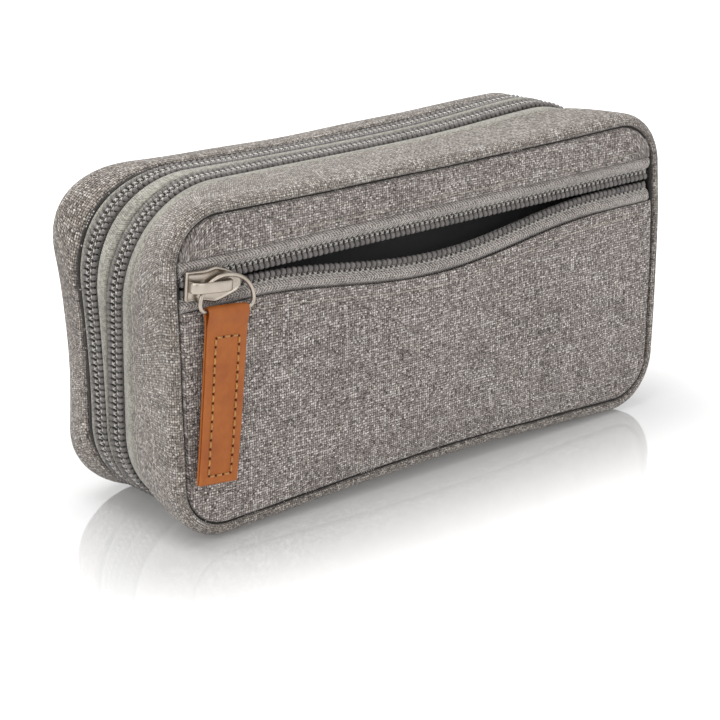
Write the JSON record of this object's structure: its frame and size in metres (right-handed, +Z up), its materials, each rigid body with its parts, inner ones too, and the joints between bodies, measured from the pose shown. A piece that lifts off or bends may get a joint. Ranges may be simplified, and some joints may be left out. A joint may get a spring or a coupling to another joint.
{
  "type": "insulin cooling case",
  "caption": "Soft zip case with a pen compartment, a cooled gel-pack compartment and an open front zip pocket with a leather pull.",
  "frame": {"origin": "middle of the long lower edge that the case stands on, at floor level", "axes": "+X along the case to the side with the main sliders, -Y towards the front pocket, +Z up"},
  "size_m": [0.2153, 0.0739, 0.11],
  "materials": {
    "cloth": "heather grey-beige plain weave",
    "band_cloth": "grey-green ribbed band",
    "zip_tape": "grey-green woven tape",
    "zip_coil": "satin grey nylon",
    "lining": "smooth dark lining",
    "elastic": "ribbed dark elastic",
    "foam": "fine closed-cell foam",
    "foil": "crinkled insulating foil",
    "gel": "smooth blue film over gel",
    "net": "dark knitted net",
    "nickel": "satin nickel",
    "tan_leather": "smooth tan leather"
  },
  "bodies": {
    "divider": {"middle_band": "band_cloth", "divider_panel": "lining", "left_pen_elastic": "elastic", "right_pen_elastic": "elastic", "front_zip_divider_coil": "zip_coil", "front_zip_divider_tape": "zip_tape", "back_zip_divider_coil": "zip_coil", "back_zip_divider_tape": "zip_tape"},
    "front_lid": {"front_gusset": "cloth", "front_upper_panel": "cloth", "front_pocket_panel": "cloth", "front_hinge_strip": "cloth", "pocket_back_wall": "lining", "pocket_zip_upper_tape": "zip_tape", "pocket_zip_upper_coil": "zip_coil", "pocket_zip_lower_tape": "zip_tape", "pocket_zip_lower_coil": "zip_coil", "front_zip_lid_coil": "zip_coil", "front_zip_lid_tape": "zip_tape"},
    "back_lid": {"back_gusset": "cloth", "back_panel": "cloth", "back_hinge_strip": "cloth", "back_zip_lid_coil": "zip_coil", "back_zip_lid_tape": "zip_tape", "insulation_foam": "foam", "foil_liner": "foil", "gel_pack": "gel", "gel_pack_net": "net"},
    "pocket_slider": {"pocket_slider": "nickel", "pocket_slider_bridge": "nickel", "pocket_ring": "nickel"},
    "pocket_pull": {"pocket_pull": "tan_leather"},
    "front_zip_slider": {"front_zip_slider": "nickel", "front_zip_slider_bridge": "nickel"},
    "front_zip_pull": {"front_zip_ring": "nickel", "front_zip_pull": "tan_leather"},
    "back_zip_slider": {"back_zip_slider": "nickel", "back_zip_slider_bridge": "nickel"},
    "back_zip_pull": {"back_zip_ring": "nickel", "back_zip_pull": "tan_leather"}
  },
  "joints": [
    {"name": "front_lid_hinge", "type": "hinge", "parent": "divider", "child": "front_lid", "pos_m": [0, -0.0018, 0], "axis": [1, 0, 0], "range_deg": [0, 60]},
    {"name": "back_lid_hinge", "type": "hinge", "parent": "divider", "child": "back_lid", "pos_m": [0, 0.0094, 0], "axis": [-1, 0, 0], "range_deg": [0, 60]},
    {"name": "pocket_zip_slide", "type": "slide", "parent": "front_lid", "child": "pocket_slider", "axis": [1, 0, 0], "range_m": [0, 0.17]},
    {"name": "pocket_pull_swing", "type": "hinge", "parent": "pocket_slider", "child": "pocket_pull", "pos_m": [-0.08538, -0.0377, 0.0766], "axis": [-1, 0, 0], "range_deg": [0, 120]},
    {"name": "front_zip_slide", "type": "slide", "parent": "divider", "child": "front_zip_slider", "axis": [0, 0, 1], "range_m": [-0.014, 0]},
    {"name": "front_zip_pull_swing", "type": "hinge", "parent": "front_zip_slider", "child": "front_zip_pull", "pos_m": [0.1081, -0.0018, 0.06533], "axis": [0, -1, 0], "range_deg": [0, 80]},
    {"name": "back_zip_slide", "type": "slide", "parent": "divider", "child": "back_zip_slider", "axis": [0, 0, 1], "range_m": [-0.014, 0]},
    {"name": "back_zip_pull_swing", "type": "hinge", "parent": "back_zip_slider", "child": "back_zip_pull", "pos_m": [0.1081, 0.0094, 0.06533], "axis": [0, -1, 0], "range_deg": [0, 80]}
  ]
}
